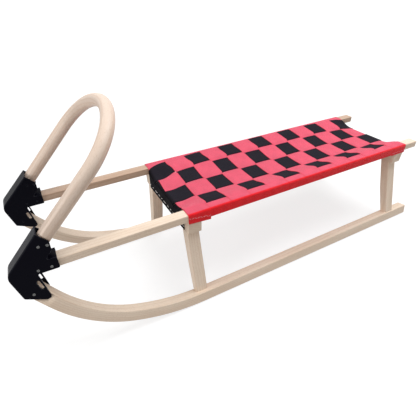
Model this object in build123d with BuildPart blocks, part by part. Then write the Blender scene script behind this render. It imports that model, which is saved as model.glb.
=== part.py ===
"""Wooden sled: two curved runners, two seat rails, four splayed legs, a bent wooden bow
held by folded sheet steel brackets, and a webbing seat.

Frame: +Z is up, the nose points to -Y and the sled's left side is +X. The origin is on
the ground under the middle of the overall box. Lengths are in millimetres.
"""

from math import atan2, cos, degrees, radians, sin, tan
from build123d import *
import os

os.makedirs("parts", exist_ok=True)

# ---------------------------------------------------------------- overall sizes
overall_length = 1040.0      # bracket nose to the runners' rear ends
seat_height = 229.0          # ground to the top of the rails
rail_spread = 254.0          # over the outer faces of the two rails
sole_spread = 294.6          # between the middles of the two soles

# ---------------------------------------------------------------- runners
runner_height = 25.0
long_bend_radius = 470.0     # the first and longer of a runner's two bends
long_bend_angle = 20.0
tight_bend_angle = 37.0
tip_length = 45.0            # straight end beyond the bends, inside the bracket
tip_from_nose = 14.6         # to the front corner of that end
tip_below_rail = 38.5        # to the same corner from the rail's underside
edge_radius = 2.0            # rounded edges of all the wood

# ---------------------------------------------------------------- rails, beams and legs
rail_height = 17.0
rail_from_nose = 37.0        # the rails' front ends, inside the brackets
rail_from_tail = 9.0
beam_height = 36.0
beam_thickness = 29.5
beam_housing = 2.0           # how deep the rails are let into the beams
beam_end_inset = 0.5         # from the rail's outer face
beam_end_taper = 3.0         # the beam's end slopes in by this at its lower edge
beam_top_radius = 6.0        # the upper long edges, which the webbing is pulled over
leg_thickness = 27.5         # along the sled
leg_width = 25.0
leg_foot_width = 19.0
leg_taper_start = 66.0       # height above the runner where a leg starts to narrow
front_leg_top_inset = 12.0   # leg's outer face in from the rail's outer face
rear_leg_top_inset = 15.0    # the rear legs splay more
front_leg_foot_inset = 9.0   # leg's outer face in from the runner's upper outer edge
rear_leg_foot_inset = 3.0
front_leg_from_nose = 323.0  # to the front face of the front legs
rear_leg_from_tail = 58.0    # to the rear face of the rear legs

# ---------------------------------------------------------------- bow
bow_diameter = 24.5
bow_lean = 44.5              # degrees from upright, leaning back
bow_outset = 1.0             # from the rail's middle out to the middle of the bow's arm
bow_length = 274.0           # foot point to the middle of the top, along the lean
shoulder_radius = 90.0
shoulder_angle = 60.0
bow_foot_from_nose = 36.0
bow_foot_above_rail = 9.0

# ---------------------------------------------------------------- brackets
sheet = 2.5
bracket_gap = 26.5           # between the two cheeks, the rails and runners are cut to it
rail_clearance = 0.4         # each side of the level rail, between the leaning cheeks
runner_clearance = 0.5       # each side of the runner
bracket_lean = 5.0           # degrees
web_clearance = 2.0          # between the bow and the web in front of it
arm_length = 50.5            # from the bow's foot point up to the end of the web
arm_rear_length = 48.5       # and up to the rear corner of its sloping top edge
arm_rear_offset = 8.0        # that corner, behind the bow's middle line
arm_elbow_length = 36.0      # the arm's rear edge bulges out to here
arm_elbow_offset = 19.4
nose_radius = 22.0
front_lean = 12.0            # degrees, the lower front edge runs back as it goes down
front_edge = 40.0            # length of that edge
socket_from_nose = 78.5      # nose to the rear end of the rail socket
socket_cap = 18.0            # length of the cap folded over the rail
cap_clearance = 2.5
lower_arm_from_nose = 42.5   # nose to the top of the rear edge of the runner's arm
heel_from_nose = 51.5        # and to its foot
lower_arm_drop = 61.3        # from the rail's underside down to its heel
grip_drop = 28.0             # from the rail's underside to the middle of the runner's end
heel_radius = 6.5
fold_radius = 3.0
slot_length = 20.0           # for the tow rope, through both cheeks
slot_width = 5.8
slot_from_nose = 40.0        # to the slot's middle
slot_drop = 22.6             # from the rail's underside down to it
fit_clearance = 0.4

# ---------------------------------------------------------------- webbing
cross_strap_count = 13
long_strap_count = 4
strap_gap = 0.5
webbing = 1.6
lay_clearance = 0.3          # between webbing and whatever it lies on
seat_dip = 6.0               # top of the rails to the top of the seat's field
dip_run = 33.0               # the cross straps come down to the field over this width
wrap_under = 14.0            # how far the cross straps run back under the rails
wrap_slack = 2.0             # and how loosely they hang there
flap_drop = 7.5              # the two end straps hang this far below the rails
end_slope = 30.0             # the long straps drop to the beams over this length

# ---------------------------------------------------------------- worked out from these
runner_width = bracket_gap - 2 * runner_clearance
rail_room = bracket_gap - 2 * rail_clearance - rail_height * sin(radians(bracket_lean))
rail_width = rail_room / cos(radians(bracket_lean))
nose_y = -overall_length / 2
tail_y = overall_length / 2
rail_outer_x = rail_spread / 2
rail_inner_x = rail_outer_x - rail_width
rail_mid_x = (rail_outer_x + rail_inner_x) / 2
rail_front_y = nose_y + rail_from_nose
rail_rear_y = tail_y - rail_from_tail
rail_bottom = seat_height - rail_height
beam_top = rail_bottom + beam_housing
beam_bottom = beam_top - beam_height
front_leg_y = nose_y + front_leg_from_nose
rear_leg_y = tail_y - rear_leg_from_tail - leg_thickness
bow_foot_y = nose_y + bow_foot_from_nose
bow_foot_z = seat_height + bow_foot_above_rail
bow_radius = bow_diameter / 2
arm_x = rail_mid_x + bow_outset
socket_y = nose_y + socket_from_nose
lower_arm_y = nose_y + lower_arm_from_nose
web_offset = bow_radius + web_clearance + sheet
# The rod ends where its rear edge is just clear of the top of the rail.
bow_end = bow_radius * sin(radians(bow_lean)) - bow_foot_above_rail + fit_clearance
bow_end /= cos(radians(bow_lean))
# The runners lean in, from their soles to the middle of the lower arms.
grip_z = rail_bottom - grip_drop
grip_x = rail_mid_x + (grip_drop + rail_height / 2) * tan(radians(bracket_lean))
runner_mid_x = sole_spread / 2
runner_lean = degrees(atan2(runner_mid_x - grip_x, grip_z))
# The tighter bend takes up the rest of the rise from the sole to the tip.
tip_angle = long_bend_angle + tight_bend_angle
cos_long, sin_long = cos(radians(long_bend_angle)), sin(radians(long_bend_angle))
cos_tip, sin_tip = cos(radians(tip_angle)), sin(radians(tip_angle))
tight_bend_rise = (rail_bottom - tip_below_rail) / cos(radians(runner_lean))
tight_bend_rise -= long_bend_radius * (1 - cos_long) + tip_length * sin_tip
tight_bend_radius = tight_bend_rise / (cos_long - cos_tip)
bend_y = nose_y + tip_from_nose + tip_length * cos_tip
bend_y += long_bend_radius * sin_long + tight_bend_radius * (sin_tip - sin_long)


def leaning_plane(x, z, lean):
    """Side plane on the left, through x at the height z, where local y is equal to z.

    Local x runs to the tail, and local y runs up and inwards.
    """
    s, c = sin(radians(lean)), cos(radians(lean))
    return Plane(origin=(x + s * z, 0, z - c * z), x_dir=(0, 1, 0), z_dir=(c, 0, s))


runner_plane = leaning_plane(runner_mid_x, 0, runner_lean)
bracket_plane = leaning_plane(rail_mid_x, rail_bottom + rail_height / 2, bracket_lean)
bow_plane = Plane(
    origin=(0, bow_foot_y, bow_foot_z),
    x_dir=(1, 0, 0),
    z_dir=(0, -cos(radians(bow_lean)), sin(radians(bow_lean))),
)


def beside_bow(along, behind):
    """Side view point at a distance up the bow's arm and behind its middle line."""
    s, c = sin(radians(bow_lean)), cos(radians(bow_lean))
    return (bow_foot_y + along * s + behind * c, bow_foot_z + along * c - behind * s)


def runner_top_z(x):
    """Height of a runner's sloping upper face at a distance x from the middle plane."""
    lean = radians(runner_lean)
    top_mid_x = runner_mid_x - runner_height * sin(lean)
    return runner_height * cos(lean) + (x - top_mid_x) * tan(lean)


def save(part, name):
    part.label = name
    export_step(part, f"parts/{name}.step")


# ---------------------------------------------------------------- brackets
# One folded sheet: two cheeks, joined by a web that runs down the front and by a cap
# folded over the rail.
def web_line(inset, run_on):
    """Front edge of the bracket from the top of its arm, round the nose, to its toe."""
    s, c = sin(radians(bow_lean)), cos(radians(bow_lean))
    bend_along = (nose_y + nose_radius - bow_foot_y - (nose_radius - web_offset) * c) / s
    start = beside_bow(arm_length + run_on, inset - web_offset)
    bend = beside_bow(bend_along, inset - web_offset)
    upper = Line(start, bend)
    nose = JernArc(bend, (-s, -c), nose_radius - inset, bow_lean + front_lean)
    lower = Line(nose @ 1, nose @ 1 + (nose % 1) * (front_edge + run_on))
    return upper, nose, lower


with BuildPart() as bracket_left:
    with BuildSketch(bracket_plane) as cheek:
        with BuildLine():
            front = web_line(0, 0)
            FilletPolyline(
                front[2] @ 1,
                (nose_y + heel_from_nose, rail_bottom - lower_arm_drop),
                (lower_arm_y, rail_bottom),
                (socket_y, rail_bottom),
                (socket_y, seat_height + cap_clearance + sheet),
                (socket_y - socket_cap, seat_height + cap_clearance + sheet),
                beside_bow(arm_elbow_length, arm_elbow_offset),
                beside_bow(arm_rear_length, arm_rear_offset),
                front[0] @ 0,
                radius=[heel_radius, sheet, sheet, 1, sheet, 1, 1],
            )
        make_face()
    extrude(amount=bracket_gap / 2 + sheet, both=True)
    folds = [
        bracket_plane.from_local_coords(Vector(p.X, p.Y, side * (bracket_gap / 2 + sheet)))
        for p in [edge @ 0.5 for edge in front]
        for side in (-1, 1)
    ]
    fillet([bracket_left.edges().sort_by_distance(p)[0] for p in folds], fold_radius)
    with BuildSketch(bracket_plane):
        with BuildLine():
            inner = web_line(sheet, front_edge)
            Polyline(
                inner[2] @ 1,
                (socket_y + front_edge, (inner[2] @ 1).Y),
                (socket_y + front_edge, (inner[0] @ 0).Y),
                inner[0] @ 0,
            )
        make_face()
    extrude(amount=bracket_gap / 2, both=True, mode=Mode.SUBTRACT)
    with BuildSketch(bracket_plane):
        with Locations((socket_y - socket_cap / 2, seat_height + cap_clearance + sheet / 2)):
            Rectangle(socket_cap, sheet)
    extrude(amount=bracket_gap / 2, both=True)
    with BuildSketch(bracket_plane):
        with Locations((nose_y + slot_from_nose, rail_bottom - slot_drop)):
            SlotOverall(slot_length, slot_width, rotation=90 + front_lean)
    extrude(amount=bracket_gap, both=True, mode=Mode.SUBTRACT)
with BuildPart() as bracket_right:
    add(mirror(bracket_left.part, about=Plane.YZ))
save(bracket_left.part, "bracket_left")
save(bracket_right.part, "bracket_right")

# ---------------------------------------------------------------- runners
# Bent from one square batten, with its sole planed level and its end fitted between the
# cheeks of the bracket.
def runner_curve(height):
    """Side view line at a height above the sole, from the tail to the tip."""
    flat = Line((tail_y, height), (bend_y, height))
    first = JernArc(flat @ 1, (-1, 0), long_bend_radius - height, -long_bend_angle)
    second = JernArc(first @ 1, first % 1, tight_bend_radius - height, -tight_bend_angle)
    tip = Line(second @ 1, second @ 1 + (second % 1) * tip_length)
    return flat @ 0, tip @ 1


with BuildPart() as runner_left:
    with BuildSketch(runner_plane):
        with BuildLine():
            tail_low, tip_low = runner_curve(0)
            tail_high, tip_high = runner_curve(runner_height)
            Line(tail_low, tail_high)
            Line(tip_low, tip_high)
        make_face()
    extrude(amount=runner_width / 2, both=True)
    sides = runner_left.faces().filter_by(Axis((0, 0, 0), runner_plane.z_dir))
    fillet(sides.edges(), edge_radius)
    split(bisect_by=Plane.XY)
    with BuildPart(mode=Mode.PRIVATE) as outside:
        extrude(cheek.sketch, amount=bracket_gap / 2 + runner_width, both=True)
        extrude(cheek.sketch, amount=bracket_gap / 2, both=True, mode=Mode.SUBTRACT)
    add(outside.part, mode=Mode.SUBTRACT)
    add(bracket_left.part, mode=Mode.SUBTRACT)
with BuildPart() as runner_right:
    add(mirror(runner_left.part, about=Plane.YZ))
save(runner_left.part, "runner_left")
save(runner_right.part, "runner_right")

# ---------------------------------------------------------------- rails
with BuildPart() as rail_left:
    with BuildSketch(Plane.XZ.offset(-rail_rear_y)):
        with Locations((rail_mid_x, rail_bottom + rail_height / 2)):
            Rectangle(rail_width, rail_height)
    extrude(amount=rail_rear_y - rail_front_y)
    fillet(rail_left.edges(), edge_radius)
with BuildPart() as rail_right:
    add(mirror(rail_left.part, about=Plane.YZ))
save(rail_left.part, "rail_left")
save(rail_right.part, "rail_right")

# ---------------------------------------------------------------- crossbeams
beam_end_x = rail_outer_x - beam_end_inset
beam_foot_x = beam_end_x - beam_end_taper
beam_outline = [
    (-beam_end_x, beam_top),
    (beam_end_x, beam_top),
    (beam_foot_x, beam_bottom),
    (-beam_foot_x, beam_bottom),
]
front_beam_y = front_leg_y
rear_beam_y = rear_leg_y + leg_thickness - beam_thickness
for name, beam_y in (("front_crossbeam", front_beam_y), ("rear_crossbeam", rear_beam_y)):
    with BuildPart() as crossbeam:
        with BuildSketch(Plane.XZ.offset(-beam_y - beam_thickness)):
            Polygon(*beam_outline, align=None)
        extrude(amount=beam_thickness)
        fillet(crossbeam.faces().sort_by(Axis.Z)[-1].edges().filter_by(Axis.X), beam_top_radius)
        fillet(crossbeam.faces().sort_by(Axis.Z)[0].edges(), edge_radius / 2)
        add(rail_left.part, mode=Mode.SUBTRACT)
        add(rail_right.part, mode=Mode.SUBTRACT)
    save(crossbeam.part, name)

# ---------------------------------------------------------------- legs
# The outer face is straight. The inner face runs beside it, then tapers to the foot,
# which is cut to the runner it stands on.
runner_edge_x = runner_mid_x + runner_width / 2 * cos(radians(runner_lean))
runner_edge_x -= runner_height * sin(radians(runner_lean))
for place, leg_y, leg_top_inset, leg_foot_inset in (
    ("front", front_leg_y, front_leg_top_inset, front_leg_foot_inset),
    ("rear", rear_leg_y, rear_leg_top_inset, rear_leg_foot_inset),
):
    leg_foot_x = runner_edge_x - leg_foot_inset
    kink_z = runner_top_z(leg_foot_x) + leg_taper_start
    leg_top_x = rail_outer_x - leg_top_inset
    leg_slope = (leg_foot_x - leg_top_x) / (beam_bottom - runner_top_z(leg_foot_x))
    kink_x = leg_top_x + (beam_bottom - kink_z) * leg_slope - leg_width
    leg_outline = [
        (leg_top_x, beam_bottom),
        (leg_foot_x, runner_top_z(leg_foot_x)),
        (leg_foot_x - leg_foot_width, runner_top_z(leg_foot_x - leg_foot_width)),
        (kink_x, kink_z),
        (leg_top_x - leg_width, beam_bottom),
    ]
    with BuildPart() as leg:
        with BuildSketch(Plane.XZ.offset(-leg_y - leg_thickness)):
            Polygon(*leg_outline, align=None)
        extrude(amount=leg_thickness)
        long_edges = leg.edges().filter_by(lambda e: abs(e.tangent_at(0.5).Z) > 0.5)
        fillet(long_edges, edge_radius)
        add(runner_left.part, mode=Mode.SUBTRACT)
    with BuildPart() as other_leg:
        add(mirror(leg.part, about=Plane.YZ))
    save(leg.part, f"{place}_left_leg")
    save(other_leg.part, f"{place}_right_leg")

# ---------------------------------------------------------------- bow
# A round rod bent to an arch. Its ends are planed flat where they sit between the cheeks.
crown_angle = 90 - shoulder_angle
crown_radius = shoulder_radius + (arm_x - shoulder_radius) / sin(radians(crown_angle))
arch_height = shoulder_radius * sin(radians(shoulder_angle))
arch_height += crown_radius * (1 - cos(radians(crown_angle)))
with BuildPart() as bow:
    with BuildLine(bow_plane) as bow_path:
        arm = Line((-arm_x, bow_end), (-arm_x, bow_length - arch_height))
        turn = JernArc(arm @ 1, arm % 1, shoulder_radius, -shoulder_angle)
        crown = JernArc(turn @ 1, turn % 1, crown_radius, -2 * crown_angle)
        far_turn = JernArc(crown @ 1, crown % 1, shoulder_radius, -shoulder_angle)
        Line(far_turn @ 1, (arm_x, bow_end))
    with BuildSketch(Plane(origin=bow_path.line @ 0, z_dir=bow_path.line % 0)):
        Circle(bow_radius)
    sweep()
    for side in (1, -1):
        with BuildSketch(bracket_plane.offset(side * bracket_gap / 2)) as flat:
            Polygon(
                beside_bow(-bow_radius, -bow_diameter),
                beside_bow(-bow_radius, bow_diameter),
                beside_bow(arm_length + sheet, bow_diameter),
                beside_bow(arm_length + sheet, -bow_diameter),
                align=None,
            )
        with BuildPart(mode=Mode.PRIVATE) as waste:
            add(extrude(flat.sketch, amount=side * bow_radius))
        add(waste.part, mode=Mode.SUBTRACT)
        add(mirror(waste.part, about=Plane.YZ), mode=Mode.SUBTRACT)
save(bow.part, "bow")

# ---------------------------------------------------------------- seat webbing
# The long straps run over both crossbeams. The cross straps lie on them and wrap round
# the rails; the first and the last hang down as flaps outside the crossbeams' ends.
field_top = seat_height - seat_dip
field_bottom = field_top - webbing
long_strap_bottom = field_bottom - lay_clearance - webbing
front_face_y = front_beam_y - lay_clearance
rear_face_y = rear_beam_y + beam_thickness + lay_clearance
beam_lay_z = beam_top + lay_clearance
long_pitch = (2 * rail_inner_x - strap_gap) / long_strap_count
for number in range(long_strap_count):
    strap_x = (number - (long_strap_count - 1) / 2) * long_pitch
    with BuildPart() as long_strap:
        with BuildSketch(Plane.YZ.offset(strap_x)):
            with BuildLine():
                FilletPolyline(
                    (front_face_y, beam_bottom),
                    (front_face_y, beam_lay_z),
                    (front_beam_y + beam_thickness, beam_lay_z),
                    (front_beam_y + beam_thickness + end_slope, long_strap_bottom),
                    (rear_beam_y - end_slope, long_strap_bottom),
                    (rear_beam_y, beam_lay_z),
                    (rear_face_y, beam_lay_z),
                    (rear_face_y, beam_bottom),
                    radius=beam_top_radius,
                )
                offset(amount=webbing, side=Side.LEFT)
            make_face()
        extrude(amount=(long_pitch - strap_gap) / 2, both=True)
    save(long_strap.part, f"long_strap_{number + 1}")

wrap_x = rail_outer_x + lay_clearance
wrap_top = seat_height + lay_clearance
wrap_bottom = rail_bottom - lay_clearance - wrap_slack
cross_pitch = (rear_face_y - front_face_y) / cross_strap_count
for number in range(cross_strap_count):
    strap_y = front_face_y + (number + 0.5) * cross_pitch
    if number in (0, cross_strap_count - 1):
        strap_end = [(wrap_x, rail_bottom - flap_drop)]
    else:
        strap_end = [(wrap_x - wrap_under, wrap_bottom), (wrap_x, wrap_bottom)]
    half_path = strap_end + [
        (wrap_x, wrap_top),
        (rail_inner_x, wrap_top),
        (rail_inner_x - dip_run, field_bottom),
    ]
    with BuildPart() as cross_strap:
        with BuildSketch(Plane.XZ.offset(-strap_y)):
            with BuildLine():
                Polyline(*half_path, *[(-x, z) for x, z in reversed(half_path)])
                offset(amount=webbing, side=Side.RIGHT)
            make_face()
        extrude(amount=(cross_pitch - strap_gap) / 2, both=True)
    save(cross_strap.part, f"cross_strap_{number + 1:02d}")
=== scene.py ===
"""Wooden sled, dressed for looks: oiled beech, black painted steel and a woven webbing seat."""

import math

import bmesh
import bpy
import numpy as np
from mathutils import Matrix, Vector


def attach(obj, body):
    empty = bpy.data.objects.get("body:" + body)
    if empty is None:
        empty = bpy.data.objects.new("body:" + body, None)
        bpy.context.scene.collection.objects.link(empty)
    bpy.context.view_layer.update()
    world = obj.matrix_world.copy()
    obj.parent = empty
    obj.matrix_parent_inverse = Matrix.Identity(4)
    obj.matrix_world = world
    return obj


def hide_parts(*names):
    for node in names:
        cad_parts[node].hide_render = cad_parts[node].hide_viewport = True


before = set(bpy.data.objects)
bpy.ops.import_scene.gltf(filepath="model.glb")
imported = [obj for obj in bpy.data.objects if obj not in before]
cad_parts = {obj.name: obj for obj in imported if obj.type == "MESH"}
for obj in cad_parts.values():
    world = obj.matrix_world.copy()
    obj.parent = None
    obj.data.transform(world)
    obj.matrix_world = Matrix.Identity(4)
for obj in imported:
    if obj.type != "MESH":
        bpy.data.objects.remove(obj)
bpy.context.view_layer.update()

# ---------------------------------------------------------------- sizes, in metres
mm = 0.001
rail_top = 229 * mm
rail_bottom = 212 * mm
rail_outer = 127 * mm
rail_inner = 102.69 * mm
beam_top = 214 * mm
beam_bottom = 178 * mm
seat_front = -197.3 * mm     # front face of the webbing on the front crossbeam
seat_rear = 462.3 * mm
columns = 13
rows = 4
pitch = (seat_rear - seat_front) / columns
webbing = 1.3 * mm
lay = 0.3 * mm               # webbing to wood
level = 0.76 * mm            # each strap above or below the middle of the weave
roll = 7.7 * mm              # the weave's radius over a crossbeam
roll_front = -191 * mm       # where the seat starts to roll down at each end
roll_rear = 456 * mm
beam_level = beam_top + lay + webbing / 2 + level
face_drop = beam_level - roll - beam_bottom
over_rail = rail_top + lay + webbing / 2       # middle of the webbing on top of a rail
beside_rail = rail_outer + lay + webbing / 2   # and down its outer face
slope_start = 72 * mm        # the cross straps climb to the rails from here
slack = 2.2 * mm             # how far the wraps hang below the rails
drag = 0.035                 # how far the used seat has racked, front to back and side to side
wrap_bend = 2.8 * mm         # radius of the wraps round a rail's edges
wrap_under = 15 * mm         # how far they run back under it
quarter = math.pi / 2

# the runners: leaning in, bent twice at the nose
sole_middle = 147.3 * mm
runner_lean = math.atan2(29.262, 184.0)
first_radius, first_bend = 470 * mm, math.radians(20)
second_radius, both_bends = 277.4 * mm, math.radians(57)
bend_start = -182.4 * mm

# the bow: two arms, two shoulders and a crown, in a plane that leans back
bow_foot_y, bow_foot_z = -484 * mm, 238 * mm
bow_lean = math.radians(44.5)
arm_spread = 115.8 * mm
shoulder_radius, shoulder_turn = 90 * mm, math.radians(60)
bow_length = 274 * mm

# the brackets: their cheeks lean in about the middle of the rail
bracket_middle_x, bracket_middle_z = 114.8, 220.5   # in mm
bracket_lean = math.radians(5)
cheek_face = 15.75                                  # from the middle, in mm


# ---------------------------------------------------------------- shader building
def link(tree, output, socket):
    tree.links.new(output, socket)


def add(tree, kind, links=None, **settings):
    """A node of that kind, with its settings, and its inputs given as values or links."""
    node = tree.nodes.new(kind)
    for key, value in settings.items():
        setattr(node, key, value)
    for key, value in (links or {}).items():
        if isinstance(value, bpy.types.NodeSocket):
            link(tree, value, node.inputs[key])
        else:
            node.inputs[key].default_value = value
    return node


def group(name, kind, inputs, outputs):
    """An empty node group with named inputs (with defaults) and outputs."""
    tree = bpy.data.node_groups.new(name, kind)
    for label, socket, value in inputs:
        made = tree.interface.new_socket(name=label, in_out="INPUT", socket_type=socket)
        if value is not None:
            made.default_value = value
    for label, socket in outputs:
        tree.interface.new_socket(name=label, in_out="OUTPUT", socket_type=socket)
    return tree, tree.nodes.new("NodeGroupInput").outputs, tree.nodes.new("NodeGroupOutput").inputs


def calc(tree, operation, a, b=0.0, c=0.0):
    """The result of one sum on up to three values or sockets."""
    return add(tree, "ShaderNodeMath", {0: a, 1: b, 2: c}, operation=operation).outputs[0]


def ramp(tree, value, low, high, to_low=0.0, to_high=1.0):
    """Smooth change from to_low to to_high as value goes from low to high."""
    links = {"Value": value, 1: low, 2: high, 3: to_low, 4: to_high}
    node = add(tree, "ShaderNodeMapRange", links, interpolation_type="SMOOTHSTEP")
    return node.outputs[0]


def blend(tree, factor, a, b, way="MIX"):
    """Colour a changed to colour b by a factor."""
    node = add(tree, "ShaderNodeMix", {0: factor, 6: a, 7: b}, data_type="RGBA", blend_type=way)
    return node.outputs[2]


def stretched(tree, vector, scale):
    """A place multiplied along each axis, so that a pattern is finer the larger the scale."""
    node = add(tree, "ShaderNodeVectorMath", {0: vector, 1: scale}, operation="MULTIPLY")
    return node.outputs[0]


def noise(tree, vector, detail=2.0, rough=0.5):
    """Smooth noise of about one wave per unit of the place it is given."""
    links = {"Vector": vector, "Scale": 1.0, "Detail": detail, "Roughness": rough}
    return add(tree, "ShaderNodeTexNoise", links).outputs[0]


# Grain of beech: growth rings, fine fibres and short dark flecks, in metres along X.
grain, g, out = group(
    "wood_grain",
    "ShaderNodeTree",
    [
        ("Place", "NodeSocketVector", None),
        ("Ring Pitch", "NodeSocketFloat", 0.004),
        ("Pale", "NodeSocketColor", (0.9, 0.8, 0.7, 1)),
        ("Deep", "NodeSocketColor", (0.7, 0.5, 0.4, 1)),
        ("Fleck Depth", "NodeSocketFloat", 0.5),
    ],
    [
        ("Colour", "NodeSocketColor"),
        ("Roughness", "NodeSocketFloat"),
        ("Height", "NodeSocketFloat"),
    ],
)
waver = noise(grain, stretched(grain, g["Place"], (3.0, 14.0, 14.0)), 3.0)
split = add(grain, "ShaderNodeSeparateXYZ", {0: g["Place"]}).outputs
aside = calc(grain, "POWER", calc(grain, "ADD", split["Y"], 0.043), 2.0)
below = calc(grain, "POWER", calc(grain, "ADD", split["Z"], 0.028), 2.0)
from_pith = calc(grain, "ADD", aside, below)
radius = calc(grain, "MULTIPLY_ADD", waver, 0.016, calc(grain, "SQRT", from_pith))
turn = calc(grain, "MULTIPLY", calc(grain, "DIVIDE", radius, g["Ring Pitch"]), math.tau)
rings = ramp(grain, calc(grain, "SINE", turn), 0.1, 1.0)
fibres = noise(grain, stretched(grain, g["Place"], (18.0, 900.0, 900.0)), 3.0, 0.6)
clouds = noise(grain, stretched(grain, g["Place"], (5.0, 40.0, 40.0)), 2.0)
specks = noise(grain, stretched(grain, g["Place"], (260.0, 1500.0, 1500.0)), 1.0)
flecks = ramp(grain, specks, 0.60, 0.70)
shade = calc(grain, "MULTIPLY_ADD", rings, 0.30, calc(grain, "MULTIPLY", fibres, 0.45))
shade = calc(grain, "ADD", shade, ramp(grain, clouds, 0.35, 0.7, 0.0, 0.35))
tone = blend(grain, ramp(grain, shade, 0.1, 0.95), g["Pale"], g["Deep"])
fleck_mask = calc(grain, "MULTIPLY", flecks, g["Fleck Depth"])
tone = blend(grain, fleck_mask, tone, (0.62, 0.44, 0.32, 1))
link(grain, tone, out["Colour"])
link(grain, ramp(grain, shade, 0.0, 1.0, 0.42, 0.56), out["Roughness"])
dents = calc(grain, "MULTIPLY_ADD", flecks, -0.6, calc(grain, "MULTIPLY", fibres, 0.5))
link(grain, dents, out["Height"])

# Webbing: ribs of yarn that zigzag along the strap, in metres along U and across V.
weave, g, out = group(
    "webbing_weave",
    "ShaderNodeTree",
    [
        ("Place", "NodeSocketVector", None),
        ("Yarn", "NodeSocketFloat", 0.0011),
        ("Rib", "NodeSocketFloat", 0.0034),
    ],
    [("Ridges", "NodeSocketFloat"), ("Selvedge", "NodeSocketFloat"), ("Cloud", "NodeSocketFloat")],
)
split = add(weave, "ShaderNodeSeparateXYZ", {0: g["Place"]}).outputs
zig = calc(weave, "PINGPONG", calc(weave, "DIVIDE", split["Y"], g["Rib"]), 0.5)
yarn = calc(weave, "DIVIDE", split["X"], g["Yarn"])
along = calc(weave, "ADD", yarn, calc(weave, "MULTIPLY", zig, 3.0))
yarns = ramp(weave, calc(weave, "PINGPONG", along, 0.5), 0.0, 0.4)
grooves = ramp(weave, zig, 0.0, 0.12)
link(weave, calc(weave, "MULTIPLY", yarns, grooves), out["Ridges"])
edge = calc(weave, "ABSOLUTE", split["Y"])
link(weave, ramp(weave, edge, 0.0232, 0.0252), out["Selvedge"])
clouds = noise(weave, stretched(weave, g["Place"], (28.0, 45.0, 30.0)), 3.0)
link(weave, clouds, out["Cloud"])

# Edges: 1 along outside edges, broken up by noise: where paint and polish wear, and on the brackets
# also where a painted edge highlight goes.
wear, g, out = group(
    "edge_wear",
    "ShaderNodeTree",
    [
        ("Width", "NodeSocketFloat", 0.0012),
        ("Patchiness", "NodeSocketFloat", 0.5),
        ("Place", "NodeSocketVector", None),
    ],
    [("Mask", "NodeSocketFloat")],
)
rounded = add(wear, "ShaderNodeBevel", {"Radius": g["Width"]}, samples=6).outputs[0]
true_normal = add(wear, "ShaderNodeNewGeometry").outputs["Normal"]
same = add(wear, "ShaderNodeVectorMath", {0: rounded, 1: true_normal}, operation="DOT_PRODUCT")
edge = ramp(wear, same.outputs["Value"], 0.99, 0.80)
patches = noise(wear, stretched(wear, g["Place"], (160.0, 160.0, 160.0)), 3.0)
patches = ramp(wear, calc(wear, "MULTIPLY", patches, g["Patchiness"]), 0.15, 0.3, 1.0, 0.0)
link(wear, calc(wear, "MULTIPLY", edge, patches), out["Mask"])


def use(tree, shared, **inputs):
    """One of the shared groups above, placed in a material's tree."""
    node = tree.nodes.new("ShaderNodeGroup")
    node.node_tree = shared
    for key, value in inputs.items():
        socket = node.inputs[key.replace("_", " ")]
        if isinstance(value, bpy.types.NodeSocket):
            link(tree, value, socket)
        else:
            socket.default_value = value
    return node.outputs


def surface(name):
    """A material with one Principled shader: the material, its tree and the shader's inputs."""
    material = bpy.data.materials.new(name)
    material.use_nodes = True
    tree = material.node_tree
    return material, tree, tree.nodes["Principled BSDF"].inputs


def feed(tree, sockets, colour, rough, height, depth):
    """Colour, roughness and a bump of a given depth, in metres, into the shader."""
    link(tree, colour, sockets["Base Color"])
    if isinstance(rough, bpy.types.NodeSocket):
        link(tree, rough, sockets["Roughness"])
    else:
        sockets["Roughness"].default_value = rough
    bump = add(tree, "ShaderNodeBump", {"Height": height, "Distance": depth, "Strength": 1.0})
    link(tree, bump.outputs[0], sockets["Normal"])


def beech(name, turned=(0, 0, 0), moved=(0, 0, 0), carried=None,
          pale=(0.89, 0.74, 0.60, 1), deep=(0.79, 0.615, 0.47, 1), pitch_of_rings=0.0045):
    """Oiled beech. The grain runs along the piece: turned sets its direction, or carried
    names the piece's own attribute of places along a bent batten."""
    material, tree, sockets = surface(name)
    if carried:
        place = add(tree, "ShaderNodeAttribute", attribute_name=carried).outputs["Vector"]
    else:
        place = add(tree, "ShaderNodeTexCoord").outputs["Object"]
    links = {"Vector": place, "Location": moved, "Rotation": turned}
    place = add(tree, "ShaderNodeMapping", links).outputs[0]
    wood = use(tree, grain, Place=place, Ring_Pitch=pitch_of_rings, Pale=pale, Deep=deep)
    edge_mask = use(tree, wear, Width=0.0025, Patchiness=0.35, Place=place)["Mask"]
    paler = calc(tree, "MULTIPLY", edge_mask, 0.25)
    colour = blend(tree, paler, wood["Colour"], (0.93, 0.83, 0.71, 1))
    feed(tree, sockets, colour, wood["Roughness"], wood["Height"], 0.00012)
    sockets["Specular IOR Level"].default_value = 0.35
    sockets["Coat Weight"].default_value = 0.06
    sockets["Coat Roughness"].default_value = 0.35
    return material


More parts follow.
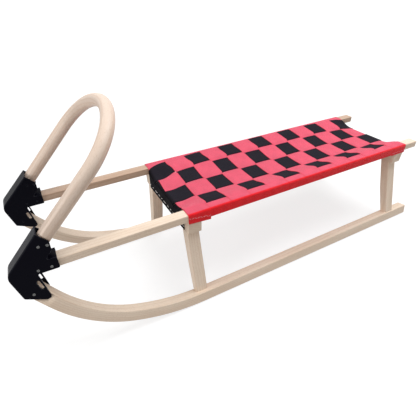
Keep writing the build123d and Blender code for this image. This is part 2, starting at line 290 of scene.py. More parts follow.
def strap_cloth(name, groove_and_edge_shade, light, top_sheen_colour, sheen, tint, gloss, rough):
    """Woven webbing from the strap's own UV, in metres, with painted shade in the grooves and along
    the edges, and a painted sheen that colours the upward faces paler.
    """
    material, tree, sockets = surface(name)
    place = add(tree, "ShaderNodeUVMap", uv_map="strap").outputs[0]
    cloth = use(tree, weave, Place=place)
    # painted shade: darker colour in the grooves between the yarns
    colour = blend(tree, ramp(tree, cloth["Ridges"], 0.0, 1.0, 0.25, 1.0), groove_and_edge_shade, light)
    # painted sheen: the upward faces of the webbing are coloured paler and pinker where the
    # overhead light falls on them
    painted_top_sheen = add(tree, "ShaderNodeAttribute", attribute_name="painted_top_sheen").outputs["Fac"]
    painted_top_sheen = calc(tree, "MULTIPLY", painted_top_sheen, ramp(tree, cloth["Ridges"], 0.0, 1.0, 0.8, 1.0))
    colour = blend(tree, painted_top_sheen, colour, top_sheen_colour)
    shade = ramp(tree, cloth["Cloud"], 0.3, 0.7, 0.90, 1.0)
    colour = blend(tree, 1.0, colour, shade, "MULTIPLY")
    # painted shade: a darker line along each strap's edges
    colour = blend(tree, calc(tree, "MULTIPLY", cloth["Selvedge"], 0.35), colour, groove_and_edge_shade)
    height = calc(tree, "MULTIPLY_ADD", cloth["Selvedge"], 0.5, cloth["Ridges"])
    feed(tree, sockets, colour, rough, height, 0.00022)
    sockets["Specular IOR Level"].default_value = gloss
    sockets["Sheen Weight"].default_value = sheen
    sockets["Sheen Roughness"].default_value = 0.45
    sockets["Sheen Tint"].default_value = tint
    return material


def bracket_paint(name):
    """Black powder coat with a fine orange peel, tinted slightly blue as a painted bluish
    reflection, and coloured blue-grey along the folds: partly worn paint, partly a painted edge
    highlight.
    """
    material, tree, sockets = surface(name)
    place = add(tree, "ShaderNodeTexCoord").outputs["Object"]
    peel = noise(tree, stretched(tree, place, (900.0, 900.0, 900.0)), 2.0)
    smudge = noise(tree, stretched(tree, place, (40.0, 40.0, 40.0)), 3.0)
    edge_mask = use(tree, wear, Width=0.0012, Patchiness=0.45, Place=place)["Mask"]
    # painted highlight and wear: the folds and cut edges are coloured a pale blue-grey
    worn_and_highlit_edge = calc(tree, "MULTIPLY", edge_mask, 0.5)
    colour = blend(tree, worn_and_highlit_edge, (0.004, 0.004, 0.008, 1), (0.20, 0.20, 0.26, 1))
    feed(tree, sockets, colour, ramp(tree, smudge, 0.3, 0.7, 0.24, 0.32), peel, 0.00003)
    sockets["Specular IOR Level"].default_value = 0.03
    return material


def plain_detail(name, low, high, rough=0.6, metallic=0.0, scale=2500.0, depth=0.0001):
    """Small fittings: a colour that varies a little at a given scale."""
    material, tree, sockets = surface(name)
    place = add(tree, "ShaderNodeTexCoord").outputs["Object"]
    spots = noise(tree, stretched(tree, place, (scale, scale, scale)), 2.0)
    colour = blend(tree, spots, low, high)
    feed(tree, sockets, colour, ramp(tree, spots, 0.3, 0.7, rough, rough + 0.12), spots, depth)
    sockets["Metallic"].default_value = metallic
    return material


leg_lean = math.radians(12.5)
left_rail_beech = beech("left_rail_beech", turned=(0, 0, -quarter), moved=(0.1, 0.02, -0.19))
# painted shade: the right rail's beech is coloured darker all over than the left rail's, standing
# in for the shade on it
right_rail_beech = beech("right_rail_beech", turned=(0, 0, -quarter), moved=(0.6, 0.02, -0.17),
                         pale=(0.60, 0.43, 0.32, 1), deep=(0.49, 0.32, 0.22, 1))
beam_beech = beech("beam_beech", moved=(0.2, 0.16, -0.17), deep=(0.76, 0.59, 0.45, 1))
left_leg_beech = beech("left_leg_beech", turned=(0, quarter + leg_lean, 0), moved=(0, 0.03, 0))
right_leg_beech = beech("right_leg_beech", turned=(0, quarter - leg_lean, 0),
                        moved=(0.3, 0.05, 0))
runner_beech = beech("runner_beech", carried="along_batten", moved=(0, 0.012, 0.01))
bow_beech = beech("bow_beech", carried="along_batten", moved=(0, 0.03, 0.02),
                  pale=(0.82, 0.665, 0.555, 1), deep=(0.72, 0.535, 0.415, 1), pitch_of_rings=0.006)
bracket_black = bracket_paint("bracket_black")
# the third colour of each webbing is a painted sheen, laid on the upward faces
red_cloth = strap_cloth(
    "red_webbing", groove_and_edge_shade=(0.90, 0.006, 0.012, 1), light=(1.0, 0.012, 0.022, 1),
    top_sheen_colour=(0.85, 0.115, 0.19, 1), sheen=0.3, tint=(1.0, 0.6, 0.65, 1), gloss=0.12, rough=0.6)
black_cloth = strap_cloth(
    "black_webbing", groove_and_edge_shade=(0.003, 0.003, 0.004, 1), light=(0.008, 0.006, 0.008, 1),
    top_sheen_colour=(0.021, 0.018, 0.025, 1), sheen=0.02, tint=(0.8, 0.8, 1.0, 1), gloss=0.04, rough=0.8)
white_thread = plain_detail("white_thread", (0.75, 0.73, 0.72, 1), (0.9, 0.88, 0.87, 1))
pink_thread = plain_detail("pink_thread", (0.80, 0.28, 0.32, 1), (0.95, 0.42, 0.45, 1))
rivet_steel = plain_detail("rivet_steel", (0.09, 0.09, 0.09, 1), (0.17, 0.17, 0.17, 1),
                           rough=0.35, metallic=0.9, scale=700.0, depth=0.00003)


# ---------------------------------------------------------------- pieces
def place_in_scene(name, mesh):
    piece = bpy.data.objects.new(name, mesh)
    bpy.context.scene.collection.objects.link(piece)
    return piece


def finish_piece(piece, material_slot, *stands_for):
    """Says where the piece belongs, and which plain CAD pieces it stands for."""
    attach(piece, "root")
    if stands_for:
        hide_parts(*stands_for)
    return piece


def wear_material(node, material):
    """The material on a CAD piece that is shown as it is."""
    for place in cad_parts[node].material_slots:
        place.material = material


def place_of(points, spine):
    """For points near a bent line: distance along it, and the two offsets across it."""
    start, step = spine[:-1], np.diff(spine, axis=0)
    size = np.linalg.norm(step, axis=1)
    along_axis = step / size[:, None]
    run = np.concatenate([[0.0], np.cumsum(size)])[:-1]
    plane = np.linalg.svd(spine - spine.mean(0), full_matrices=False)[2][2]
    found = np.zeros((len(points), 3))
    for number, point in enumerate(points):
        offset = point - start
        t = np.clip(np.einsum("ij,ij->i", offset, along_axis), 0, size)
        away = offset - along_axis * t[:, None]
        best = int(np.argmin(np.einsum("ij,ij->i", away, away)))
        side = np.cross(plane, along_axis[best])
        found[number] = (run[best] + t[best], offset[best] @ side, offset[best] @ plane)
    return found


def dress_bent(node, spine, material, material_slot):
    """The CAD batten again, carrying its own places along and across the bent grain."""
    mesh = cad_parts[node].data.copy()
    joined = bmesh.new()
    joined.from_mesh(mesh)
    bmesh.ops.remove_doubles(joined, verts=joined.verts, dist=0.00001)
    joined.to_mesh(mesh)
    joined.free()
    mesh.shade_smooth()
    mesh.set_sharp_from_angle(angle=math.radians(25))
    mesh.materials.clear()
    mesh.materials.append(material)
    points = np.zeros(len(mesh.vertices) * 3)
    mesh.vertices.foreach_get("co", points)
    places = place_of(points.reshape(-1, 3), spine)
    carried = mesh.attributes.new("along_batten", "FLOAT_VECTOR", "POINT")
    carried.data.foreach_set("vector", places.ravel())
    return finish_piece(place_in_scene(node + "_batten", mesh), material_slot, node)


def arc(centre, radius, start, end, steps=24):
    """Points along an arc, in its own plane."""
    turn = np.linspace(start, end, steps)
    return np.stack([centre[0] + radius * np.cos(turn), centre[1] + radius * np.sin(turn)], 1)


def runner_spine(side):
    """Middle line of a runner's sole, from the tail round the two bends to the tip."""
    low = arc((bend_start, first_radius), first_radius, -quarter, -quarter - first_bend)
    away = np.array([math.sin(first_bend), math.cos(first_bend)])
    knee = np.array([bend_start, first_radius]) - first_radius * away
    centre = knee + second_radius * away
    high = arc(centre, second_radius, -quarter - first_bend, -quarter - both_bends)
    tip = high[-1] + 60 * mm * np.array([-math.cos(both_bends), math.sin(both_bends)])
    tail = np.array([[530 * mm, 0.0]])
    path = np.concatenate([tail, low, high[1:], [tip]])
    x = sole_middle - path[:, 1] * math.sin(runner_lean)
    return np.stack([side * x, path[:, 0], path[:, 1] * math.cos(runner_lean)], 1)


def bow_spine():
    """Middle line of the bow, leaning back from its feet between the brackets."""
    crown_turn = quarter - shoulder_turn
    crown = shoulder_radius + (arm_spread - shoulder_radius) / math.sin(crown_turn)
    rise = shoulder_radius * math.sin(shoulder_turn) + crown * (1 - math.cos(crown_turn))
    inset, straight, foot = arm_spread - shoulder_radius, bow_length - rise, -20 * mm
    left = arc((-inset, straight), shoulder_radius, math.pi, math.pi - shoulder_turn)
    top = arc((0, bow_length - crown), crown, quarter + crown_turn, quarter - crown_turn)
    right = arc((inset, straight), shoulder_radius, shoulder_turn, 0)
    feet = [[-arm_spread, foot]], [[arm_spread, foot]]
    path = np.concatenate([feet[0], left, top[1:], right[1:], feet[1]])
    y = bow_foot_y + path[:, 1] * math.sin(bow_lean)
    z = bow_foot_z + path[:, 1] * math.cos(bow_lean)
    return np.stack([path[:, 0], y, z], 1)


for side, name in ((1, "left"), (-1, "right")):
    dress_bent("runner_" + name, runner_spine(side), runner_beech, "frame_wood")
    wear_material("rail_" + name, left_rail_beech if side > 0 else right_rail_beech)
    wear_material("bracket_" + name, bracket_black)
    for end in ("front", "rear"):
        wear_material(f"{end}_{name}_leg", left_leg_beech if side > 0 else right_leg_beech)
dress_bent("bow", bow_spine(), bow_beech, "bow_wood")
wear_material("front_crossbeam", beam_beech)
wear_material("rear_crossbeam", beam_beech)


# ---------------------------------------------------------------- the woven seat
def smooth(t):
    """0 below 0 and 1 above 1, with an eased change between."""
    t = np.clip(t, 0, 1)
    return t * t * (3 - 2 * t)


def soft_min(a, b, width):
    """The lower of a and b, with their corner rounded over a width."""
    h = np.clip(0.5 + 0.5 * (b - a) / width, 0, 1)
    return b * (1 - h) + a * h - width * h * (1 - h)


def fan(y, reach):
    """0 at the seat's ends and 1 further in than a reach from them."""
    near_end = np.minimum(y - seat_front, seat_rear - y)
    return 1 - (1 - np.clip(near_end / reach, 0, 1)) ** 2


def row_edges(row, y):
    """Low and high X of a long strap: row 0 lies by the right rail and row 3 by the left.
    Away from the crossbeams the straps spread apart, and have crept towards the right."""
    spread = fan(y, 190 * mm)
    crept = (-3.2 * spread + 2.0 * smooth((y - seat_front) / (30 * mm)) * (1 - spread)) * mm
    inner = (52.8 + 9.6 * spread) * mm
    half_gap = (0.25 + 2.9 * fan(y, 110 * mm)) * mm
    right_edge = (-96.5 - 10.0 * fan(y, 50 * mm) - 14.0 * fan(y, 250 * mm)) * mm
    left_edge = (104.2 + 1.6 * spread - 11.0 * (1 - smooth((seat_rear - y) / (110 * mm)))) * mm
    low = (right_edge, crept - inner + half_gap, crept + half_gap, crept + inner + half_gap)[row]
    high = (crept - inner - half_gap, crept - half_gap, crept + inner - half_gap, left_edge)[row]
    return low + 0 * y, high + 0 * y


def racked(x, y):
    """Y of the cross straps' lines, which no longer run quite square over the field."""
    loose = smooth((y - seat_front) / (60 * mm)) * smooth((seat_rear - y) / (60 * mm))
    set_back = 2.5 * mm * smooth((y - seat_front) / (30 * mm)) * smooth((-y + 60 * mm) / (150 * mm))
    between = 1 - smooth((np.abs(x) - 70 * mm) / (35 * mm))
    return y + (set_back - drag * x * loose) * between


def seat_height(x, y):
    """Height of the middle of the weave, from the field up to the tops of the rails.
    It is pulled up taut just behind the front crossbeam and hangs lower to the rear."""
    y = np.clip(y, roll_front, roll_rear)
    from_front, from_rear = y - seat_front, seat_rear - y
    taut = 222.2 - 6.0 * np.clip(from_front / (430 * mm), 0, 1) ** 0.8
    rise = smooth((from_front - 18 * mm) / (45 * mm)) * smooth((from_rear + 4 * mm) / (60 * mm))
    hang = 3.0 * (x / (62 * mm)) ** 2 - drag * x / mm
    field = beam_level + (taut * mm + np.clip(hang, -4, 7) * mm - beam_level) * rise
    climb = (np.abs(x) - slope_start) / (rail_inner - slope_start)
    line = field + (over_rail - field) * climb + 0.4 * mm
    on_top = smooth((-x - rail_inner) / (3 * mm)) * smooth((x + 0.1255) / (4 * mm))
    on_rail = over_rail + level * on_top * fan(y, 120 * mm)
    return -soft_min(-field, -soft_min(on_rail, line, 2.5 * mm), 5 * mm)


def seat_point(x, y, lift):
    """Point of the seat at x, y and a lift off the middle of the weave. Past the seat's
    ends, y runs on over the crossbeam's corner and down its face."""
    flat = seat_height(x, y) + lift
    points = np.stack([x, y, flat], -1)
    for end, sign in ((roll_front, -1), (roll_rear, 1)):
        past = (y - end) * sign
        turn = np.clip(past / roll, 0, quarter)
        down = np.clip((past - roll * quarter) / face_drop, 0, 1)
        centre_z = seat_height(x, np.full_like(y, end)) - roll
        hem_z = beam_bottom + 0.3 * mm
        rolled = np.stack(
            [
                x,
                end + sign * (roll + lift) * np.sin(turn),
                (centre_z + (roll + lift) * np.cos(turn)) * (1 - down) + hem_z * down,
            ],
            -1,
        )
        points = np.where((past > 0)[..., None], rolled, points)
    return points


def black_over(row, column):
    """1 where the long strap lies over the cross strap, and -1 where it lies under."""
    return np.where((row + column) % 2 == 0, 1, -1)


def strap_solid(name, middle, uv, thickness, painted_top_sheen, material):
    """A closed strap round a grid of middle points, along by across, with soft edges.
    Its upper face carries a painted top sheen: how much paler each point is coloured, where the
    overhead light falls."""
    length, across = middle.shape[:2]
    tangent = np.gradient(middle, axis=0)
    sideways = np.gradient(middle, axis=1)
    normal = np.cross(tangent, sideways)
    normal /= np.linalg.norm(normal, axis=2, keepdims=True)
    if normal[length // 2, across // 2, 2] < 0:
        normal = -normal
    half = np.full(across, thickness / 2)
    half[[0, -1]] *= 0.45
    top = middle + normal * half[None, :, None]
    under = middle - normal * half[None, :, None]
    points = np.concatenate([top.reshape(-1, 3), under.reshape(-1, 3)])
    count = length * across
    at = np.arange(count).reshape(length, across)
    faces = []
    a, b, c, d = at[:-1, :-1], at[1:, :-1], at[1:, 1:], at[:-1, 1:]
    faces += np.stack([a, b, c, d], -1).reshape(-1, 4).tolist()
    faces += (np.stack([d, c, b, a], -1).reshape(-1, 4) + count).tolist()
    loop = np.concatenate([at[0, :-1], at[:-1, -1], at[-1, :0:-1], at[:0:-1, 0]])
    following = np.roll(loop, -1)
    faces += np.stack([loop, following, following + count, loop + count], -1).tolist()
    mesh = bpy.data.meshes.new(name)
    mesh.from_pydata(points.tolist(), [], faces)
    layer = mesh.uv_layers.new(name="strap")
    corner = np.zeros(len(mesh.loops), int)
    mesh.loops.foreach_get("vertex_index", corner)
    flat_uv = uv.reshape(-1, 2)[corner % count]
    layer.data.foreach_set("uv", flat_uv.ravel())
    reached = mesh.attributes.new("painted_top_sheen", "FLOAT", "POINT")
    reached.data.foreach_set("value", np.concatenate([painted_top_sheen.ravel(), np.zeros(count)]))
    mesh.polygons.foreach_set("use_smooth", [True] * len(mesh.polygons))
    mesh.materials.append(material)
    mesh.update()
    volume = sum(
        Vector(points[f[0]]).dot(Vector(points[f[1]]).cross(Vector(points[f[2]]))) for f in faces
    )
    if volume < 0:
        mesh.flip_normals()
    return place_in_scene(name, mesh)


across_places = np.array([-1, -0.985, -0.94, -0.82, -0.6, -0.3, 0, 0.3, 0.6, 0.82, 0.94, 0.985, 1])


def red_strap(number):
    """Cross strap number 0 to 12, from under the left rail over the seat to the right one."""
    middle_y = seat_front + (number + 0.5) * pitch
    at_end = number in (0, columns - 1)
    out_x, top_z = beside_rail, over_rail
    low_z = rail_bottom - lay - webbing / 2 - slack
    bend = wrap_bend
    drop = 3.5 * mm if number == 0 else 1.5 * mm + slack
    if at_end:
        wrap = [(out_x + 0.2 * mm, z) for z in np.linspace(rail_bottom - drop, top_z - bend, 7)]
    else:
        under = [(x, low_z) for x in np.linspace(out_x - wrap_under, out_x - bend, 5)]
        corner = arc((out_x - bend, low_z + bend), bend, -quarter, 0, 6)
        side = [(out_x, z) for z in np.linspace(low_z + bend, top_z - bend, 6)[1:]]
        wrap = under + corner[1:].tolist() + side
    shoulder = arc((out_x - bend, top_z - bend), bend, 0, quarter, 6)[1:-1].tolist()
    wrap = np.array(wrap + shoulder)
    top_x = np.linspace(out_x - bend, -(out_x - bend), 181)
    flat = np.zeros(len(top_x))
    path_x = np.concatenate([wrap[:, 0], top_x, -wrap[::-1, 0]])
    path_z = np.concatenate([wrap[:, 1], flat, wrap[::-1, 1]])
    wrapped = np.concatenate([np.ones(len(wrap)), flat, np.ones(len(wrap))]) > 0
    x = np.repeat(path_x[:, None], len(across_places), 1)
    q = np.repeat(across_places[None, :], len(path_x), 0)
    over, lift = np.zeros_like(x), np.zeros_like(x)
    for row in range(rows):
        low, high = row_edges(row, np.full_like(x, middle_y))
        centre, half = (low + high) / 2, (high - low) / 2 + 4 * mm
        covered = 1 - np.clip(np.abs((x - centre) / half), 0, 1) ** 8
        side = -black_over(row, number)
        edge = np.abs(q) ** 5
        if number == 0:
            edge = np.where(q < 0, 0, edge)
        if number == columns - 1:
            edge = np.where(q > 0, 0, edge)
        lift += side * covered * (level + 0.85 * mm * edge)
        over += np.maximum(0, side) * covered
        over -= 0.12 * np.maximum(0, -side) * covered
    half_width = pitch / 2 + 0.05 * mm + 2.1 * mm * over
    limit = pitch / 2 - 0.2 * mm
    low_side = half_width if number else np.minimum(half_width, limit)
    high_side = half_width if number < columns - 1 else np.minimum(half_width, limit)
    y = middle_y + q * np.where(q < 0, low_side, high_side)
    if at_end:
        between = smooth((98 * mm - np.abs(x)) / (12 * mm))
        edge_side = np.clip(-q if number == 0 else q, 0, 1)
        recess = (7.0 - (4.0 * smooth((x + 55 * mm) / (60 * mm)) if number == 0 else 0)) * mm
        y = y - between * edge_side * (-1 if number == 0 else 1) * recess
    drift = 0.35 * mm * np.sin(path_x * 31 + number * 1.7)[:, None]
    y = racked(x, y + drift * np.where(wrapped, 0, 1)[:, None])
    points = seat_point(x, y, lift)
    plain = np.stack([x, y, seat_height(x, y) + lift], -1)
    on_rail = smooth((np.abs(x) - 94 * mm) / (11 * mm))[..., None]
    points = points * (1 - on_rail) + plain * on_rail
    hanging = np.clip((top_z - path_z) / (top_z - rail_bottom), 0, 1)[:, None]
    droop = (q + 1) / 2 * (4.5 * mm if number == 0 else 0)
    wrap_points = np.stack([x, y, path_z[:, None] - droop * hanging], -1)
    points = np.where(wrapped[:, None, None], wrap_points, points)
    run = np.linalg.norm(np.diff(points[:, 6], axis=0), axis=1)
    along = np.concatenate([[0], np.cumsum(run)])
    uv = np.stack([np.repeat(along[:, None], len(across_places), 1), q * 25.3 * mm], -1)
    name = f"cross_strap_{number + 1:02d}"
    # painted top sheen: 1 over the strap's upper field, 0 down the wraps round the rails
    painted_top_sheen = np.where(wrapped[:, None], 0, smooth((out_x - np.abs(x)) / (6 * mm)))
    piece = strap_solid("red_" + name, points, uv, webbing, painted_top_sheen, red_cloth)
    finish_piece(piece, "red_webbing", name)
    return piece


def black_strap(row):
    """Long strap 0 (by the right rail) to 3, over both crossbeams and down their faces."""
    past_end = roll * quarter + face_drop
    inside = np.linspace(roll_front, roll_rear, columns * 16 + 1)
    over_corner = np.linspace(0, roll * quarter, 9)[1:]
    down_face = np.linspace(roll * quarter, past_end, 8)[1:]
    beyond = np.concatenate([over_corner, down_face])
    path_y = np.concatenate([roll_front - beyond[::-1], inside, roll_rear + beyond])
    clamped = np.clip(path_y, seat_front, seat_rear)
    low, high = row_edges(row, clamped)
    q = across_places[None, :]
    x = (low + high)[:, None] / 2 + (high - low)[:, None] / 2 * q
    y = np.repeat(path_y[:, None], len(across_places), 1)
    square = np.clip(2 * y - racked(x, y), seat_front, seat_rear)
    column = np.clip(np.floor((square - seat_front) / pitch), 0, columns - 1)
    local = ((square - seat_front) / pitch - column) * 2 - 1
    over = black_over(row, column)
    crest = 1 - np.abs(local) ** 4
    first, last = (column == 0) & (local < 0), (column == columns - 1) & (local > 0)
    lift = level * over * np.where(first | last, 1, crest)
    for end, sign in ((roll_front, -1), (roll_rear, 1)):
        past = (y - end) * sign
        settle = smooth((past - 7 * mm) / (6 * mm))
        lift = lift * (1 - settle) - level * settle
    points = seat_point(x, y, lift)
    within = np.clip(y, seat_front, seat_rear)
    points[..., 0] += 0.4 * mm * np.sin(y * 37 + row * 2.1) * fan(within, 120 * mm)
    run = np.linalg.norm(np.diff(points[:, 6], axis=0), axis=1)
    along = np.concatenate([[0], np.cumsum(run)])
    width = (high - low)[:, None] / 2 * q
    uv = np.stack([np.repeat(along[:, None], len(across_places), 1), width], -1)
    name = f"long_strap_{row + 1}"
    # painted top sheen: 1 over the field, 0 down the crossbeams' faces
    past_front, before_rear = y - roll_front + 8 * mm, roll_rear + 8 * mm - y
    painted_top_sheen = smooth(past_front / (10 * mm)) * smooth(before_rear / (10 * mm))
    piece = strap_solid("black_" + name, points, uv, webbing, painted_top_sheen, black_cloth)
    finish_piece(piece, "black_webbing", name)
    return piece


for number in range(columns):
    red_strap(number)
for row in range(rows):
    black_strap(row)


# ---------------------------------------------------------------- stitches and rivets
def shown_copies(tree, links, material):
    """Copies on points, made real, shaded smooth and given their material."""
    placed = add(tree, "GeometryNodeInstanceOnPoints", links).outputs[0]
    real = add(tree, "GeometryNodeRealizeInstances", {0: placed}).outputs[0]
    shaded = add(tree, "GeometryNodeSetShadeSmooth", {0: real}).outputs[0]
    links = {"Geometry": shaded, "Material": material}
    return add(tree, "GeometryNodeSetMaterial", links).outputs[0]


stitching, g, out = group(
    "zigzag_stitches",
    "GeometryNodeTree",
    [
        ("Line", "NodeSocketGeometry", None),
        ("Stitch Pitch", "NodeSocketFloat", 0.004),
        ("Stitch Length", "NodeSocketFloat", 0.005),
        ("Thread Radius", "NodeSocketFloat", 0.0004),
        ("Zigzag Angle", "NodeSocketFloat", 0.6),
        ("Facing", "NodeSocketVector", (0, 0, 1)),
        ("Thread", "NodeSocketMaterial", None),
    ],
    [("Stitches", "NodeSocketGeometry")],
)
curve = add(stitching, "GeometryNodeMeshToCurve", {"Mesh": g["Line"]}).outputs[0]
resampled = stitching.nodes.new("GeometryNodeResampleCurve")
resampled.mode = "LENGTH"
link(stitching, curve, resampled.inputs["Curve"])
link(stitching, g["Stitch Pitch"], resampled.inputs["Length"])
spots = stitching.nodes.new("GeometryNodeCurveToPoints")
spots.mode = "EVALUATED"
link(stitching, resampled.outputs[0], spots.inputs["Curve"])
facing = stitching.nodes.new("FunctionNodeAxesToRotation")
facing.primary_axis, facing.secondary_axis = "Z", "X"
link(stitching, g["Facing"], facing.inputs[0])
link(stitching, spots.outputs["Tangent"], facing.inputs[1])
index = stitching.nodes.new("GeometryNodeInputIndex").outputs[0]
parity = calc(stitching, "MODULO", index, 2.0)
one_way = calc(stitching, "MULTIPLY_ADD", parity, 2.0, -1.0)
swing = calc(stitching, "MULTIPLY", one_way, g["Zigzag Angle"])
euler = add(stitching, "ShaderNodeCombineXYZ", {"Z": swing}).outputs[0]
swung = add(stitching, "FunctionNodeEulerToRotation", {0: euler}).outputs[0]
turned = stitching.nodes.new("FunctionNodeRotateRotation")
turned.rotation_space = "LOCAL"
link(stitching, facing.outputs[0], turned.inputs[0])
link(stitching, swung, turned.inputs[1])
links = {"Segments": 8, "Rings": 6, "Radius": 1.0}
bead = add(stitching, "GeometryNodeMeshUVSphere", links).outputs[0]
half_length = calc(stitching, "MULTIPLY", g["Stitch Length"], 0.5)
links = {"X": half_length, "Y": g["Thread Radius"], "Z": g["Thread Radius"]}
shape = add(stitching, "ShaderNodeCombineXYZ", links).outputs[0]
bead = add(stitching, "GeometryNodeTransform", {"Geometry": bead, "Scale": shape}).outputs[0]
links = {"Points": spots.outputs["Points"], "Instance": bead, "Rotation": turned.outputs[0]}
link(stitching, shown_copies(stitching, links, g["Thread"]), out["Stitches"])

riveting, g, out = group(
    "rivet_heads",
    "GeometryNodeTree",
    [
        ("Places", "NodeSocketGeometry", None),
        ("Head Radius", "NodeSocketFloat", 0.0035),
        ("Head Height", "NodeSocketFloat", 0.0015),
        ("Rim Radius", "NodeSocketFloat", 0.0011),
        ("Steel", "NodeSocketMaterial", None),
    ],
    [("Heads", "NodeSocketGeometry")],
)
facing = add(riveting, "GeometryNodeInputNamedAttribute", {"Name": "facing"},
             data_type="FLOAT_VECTOR").outputs[0]
turned = riveting.nodes.new("FunctionNodeAxesToRotation")
turned.primary_axis, turned.secondary_axis = "Z", "X"
link(riveting, facing, turned.inputs[0])
turned.inputs[1].default_value = (0.0, 1.0, 0.0)
ring_size = calc(riveting, "SUBTRACT", g["Head Radius"], g["Rim Radius"])
links = {"Resolution": 24, "Radius": ring_size}
ring = add(riveting, "GeometryNodeCurvePrimitiveCircle", links).outputs[0]
links = {"Resolution": 10, "Radius": g["Rim Radius"]}
tube = add(riveting, "GeometryNodeCurvePrimitiveCircle", links).outputs[0]
rim = add(riveting, "GeometryNodeCurveToMesh", {0: ring, 1: tube}).outputs[0]
links = {"Segments": 24, "Rings": 10, "Radius": 1.0}
dome = add(riveting, "GeometryNodeMeshUVSphere", links).outputs[0]
low_dome = calc(riveting, "MULTIPLY", g["Head Height"], 0.45)
links = {"X": g["Head Radius"], "Y": g["Head Radius"], "Z": low_dome}
shape = add(riveting, "ShaderNodeCombineXYZ", links).outputs[0]
dome = add(riveting, "GeometryNodeTransform", {"Geometry": dome, "Scale": shape}).outputs[0]
both = riveting.nodes.new("GeometryNodeJoinGeometry")
link(riveting, rim, both.inputs[0])
link(riveting, dome, both.inputs[0])
links = {"Points": g["Places"], "Instance": both.outputs[0], "Rotation": turned.outputs[0]}
link(riveting, shown_copies(riveting, links, g["Steel"]), out["Heads"])


def grown(name, seed_mesh, tree, material_slot, **values):
    """Runs a geometry tree on a seed mesh, and keeps the result as a plain piece."""
    seed = place_in_scene(name + "_seed", seed_mesh)
    modifier = seed.modifiers.new("made", "NODES")
    modifier.node_group = tree
    for item in tree.interface.items_tree:
        key = item.name.replace(" ", "_")
        if item.item_type == "SOCKET" and item.in_out == "INPUT" and key in values:
            modifier[item.identifier] = values[key]
    bpy.context.view_layer.update()
    evaluated = seed.evaluated_get(bpy.context.evaluated_depsgraph_get())
    mesh = bpy.data.meshes.new_from_object(evaluated)
    bpy.data.objects.remove(seed)
    return finish_piece(place_in_scene(name, mesh), material_slot)


def polyline(name, lines):
    """A mesh of bare edges along each line of points."""
    points, edges = [], []
    for line in lines:
        start = len(points)
        points += [tuple(p) for p in line]
        edges += [(start + i, start + i + 1) for i in range(len(line) - 1)]
    mesh = bpy.data.meshes.new(name)
    mesh.from_pydata(points, edges, [])
    return mesh


hem_style = dict(Stitch_Pitch=14.0 * mm, Stitch_Length=9.0 * mm, Thread_Radius=0.8 * mm,
                 Zigzag_Angle=0.25, Thread=white_thread)
flap_style = dict(Stitch_Pitch=6.0 * mm, Stitch_Length=6.6 * mm, Thread_Radius=0.6 * mm,
                  Zigzag_Angle=0.5, Thread=pink_thread)
for end, sign, name in ((seat_front, -1, "front"), (seat_rear, 1, "rear")):
    lines = []
    for row in range(rows):
        low, high = (float(v) for v in row_edges(row, np.array(end)))
        face = end + sign * (lay + webbing - 0.3 * mm)
        stitch_z = beam_bottom + 10.5 * mm
        lines.append([(x, face, stitch_z) for x in (low + 2.5 * mm, high - 2.5 * mm)])
    grown(name + "_hem_stitches", polyline("hem", lines), stitching, "black_webbing",
          Facing=(0.0, float(sign), 0.0), **hem_style)
for side, name in ((1, "left"), (-1, "right")):
    out_x = side * (rail_outer + lay + webbing + 0.1 * mm)
    lines = []
    for number, first, last in ((0, 221 * mm, 214 * mm), (columns - 1, 215 * mm, 215 * mm)):
        y = seat_front + number * pitch
        lines.append([(out_x, y + 3 * mm, first), (out_x, y + pitch - 3 * mm, last)])
    grown(name + "_flap_stitches", polyline("flap", lines), stitching, "red_webbing",
          Facing=(float(side), 0.0, 0.0), **flap_style)


def rivet_places(face):
    """On the outer (1) or inner (-1) faces of both brackets: two rivets through the bow,
    two through the rail, one through the runner."""
    spots = ((-462.0, 263.6), (-448.7, 262.1), (-453.5, 219.8), (-474.7, 220.0), (-494.4, 176.5))
    points, facings = [], []
    for side in (1, -1):
        for y, z in spots:
            middle = bracket_middle_x - (z - bracket_middle_z) * math.tan(bracket_lean)
            x = middle + face * cheek_face / math.cos(bracket_lean)
            points.append((side * x * mm, y * mm, z * mm))
            out_x, out_z = face * math.cos(bracket_lean), face * math.sin(bracket_lean)
            facings.append((side * out_x, 0.0, out_z))
    mesh = bpy.data.meshes.new("rivet_places")
    mesh.from_pydata(points, [], [])
    carried = mesh.attributes.new("facing", "FLOAT_VECTOR", "POINT")
    carried.data.foreach_set("vector", np.array(facings).ravel())
    return mesh


grown("outer_rivets", rivet_places(1), riveting, "bracket_black", Head_Radius=2.6 * mm,
      Head_Height=1.5 * mm, Rim_Radius=0.7 * mm, Steel=rivet_steel)
grown("inner_rivets", rivet_places(-1), riveting, "bracket_black", Head_Radius=2.6 * mm,
      Head_Height=1.2 * mm, Rim_Radius=0.6 * mm, Steel=bracket_black)


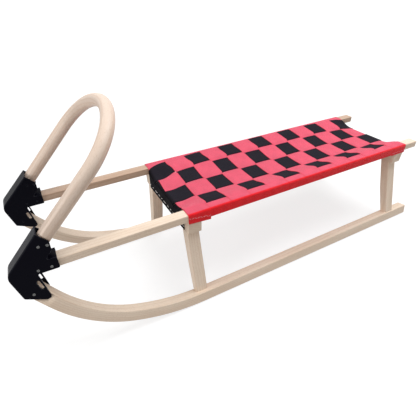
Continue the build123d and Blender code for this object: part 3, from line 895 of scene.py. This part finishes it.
# ---------------------------------------------------------------- floor, light and camera
def studio():
    """A pale floor that keeps the soft shadow, and a room that looks white."""
    floor_mesh = bpy.data.meshes.new("floor")
    wide = 40
    corners = [(-wide, -wide, 0), (wide, -wide, 0), (wide, wide, 0), (-wide, wide, 0)]
    floor_mesh.from_pydata(corners, [], [(0, 1, 2, 3)])
    floor = place_in_scene("floor", floor_mesh)
    material, tree, sockets = surface("floor_white")
    sockets["Base Color"].default_value = (0.50, 0.475, 0.45, 1)
    sockets["Roughness"].default_value = 0.9
    sockets["Specular IOR Level"].default_value = 0.0
    seen = add(tree, "ShaderNodeLightPath").outputs
    white = add(tree, "ShaderNodeEmission", {"Color": (1, 1, 1, 1), "Strength": 1.0}).outputs[0]
    grey = add(tree, "ShaderNodeBsdfDiffuse", {"Color": (0.32, 0.32, 0.32, 1)}).outputs[0]
    place = add(tree, "ShaderNodeTexCoord").outputs["Object"]
    far = add(tree, "ShaderNodeVectorMath", {0: place}, operation="LENGTH").outputs["Value"]
    strength = ramp(tree, far, 0.9, 2.2, 0.76, 1.0)
    lit = add(tree, "ShaderNodeEmission", {"Color": (1, 1, 1, 1), "Strength": strength}).outputs[0]
    both = add(tree, "ShaderNodeAddShader", {0: grey, 1: lit}).outputs[0]
    plain = tree.nodes["Principled BSDF"].outputs[0]
    links = {0: seen["Is Camera Ray"], 1: plain, 2: both}
    first = add(tree, "ShaderNodeMixShader", links).outputs[0]
    glossy = calc(tree, "MAXIMUM", seen["Is Glossy Ray"], seen["Is Transmission Ray"])
    second = add(tree, "ShaderNodeMixShader", {0: glossy, 1: first, 2: white}).outputs[0]
    link(tree, second, tree.nodes["Material Output"].inputs["Surface"])
    floor_mesh.materials.append(material)

    world = bpy.data.worlds.new("soft_room")
    bpy.context.scene.world = world
    world.use_nodes = True
    tree = world.node_tree
    tree.nodes.clear()
    seen = add(tree, "ShaderNodeLightPath").outputs
    glossy = calc(tree, "MAXIMUM", seen["Is Glossy Ray"], seen["Is Transmission Ray"])
    shown = calc(tree, "MAXIMUM", seen["Is Camera Ray"], glossy)
    strength = ramp(tree, shown, 0.0, 1.0, 0.30, 1.0)
    links = {"Color": (1, 1, 1, 1), "Strength": strength}
    sky = add(tree, "ShaderNodeBackground", links).outputs[0]
    end = tree.nodes.new("ShaderNodeOutputWorld")
    link(tree, sky, end.inputs["Surface"])


def lamp(name, place, aim, size, power, colour=(1, 1, 1)):
    """A round soft lamp at a place, turned towards the point it is aimed at."""
    light = bpy.data.lights.new(name, "AREA")
    light.shape, light.size, light.energy, light.color = "DISK", size, power, colour
    holder = place_in_scene(name, light)
    turn = (Vector(aim) - Vector(place)).to_track_quat("-Z", "Y").to_matrix().to_4x4()
    holder.matrix_world = Matrix.Translation(place) @ turn


studio()
lamp("overhead", (0.1, 0.7, 2.3), (0, 0, 0.2), 1.8, 50, (0.97, 0.99, 1.0))
lamp("front_fill", (0.5, -2.3, 1.2), (0, -0.1, 0.2), 1.4, 22)

view = bpy.data.cameras.new("camera")
view.sensor_width = 36
view.lens = 28.4451
camera = place_in_scene("camera", view)
bpy.context.scene.camera = camera
swing, tip, twist = math.radians(61.94), math.radians(35.12), math.radians(-1.18)
back = Vector((math.sin(swing) * math.cos(tip), -math.cos(swing) * math.cos(tip), math.sin(tip)))
right = Vector((math.cos(swing), math.sin(swing), 0))
up = back.cross(right)
c, s = math.cos(twist), math.sin(twist)
right, up = right * c + up * s, up * c - right * s
turn = Matrix((right, up, back)).transposed().to_4x4()
camera.matrix_world = Matrix.Translation((0.61396, -0.40778, 0.61416)) @ turn

bpy.context.scene.view_settings.view_transform = "Standard"
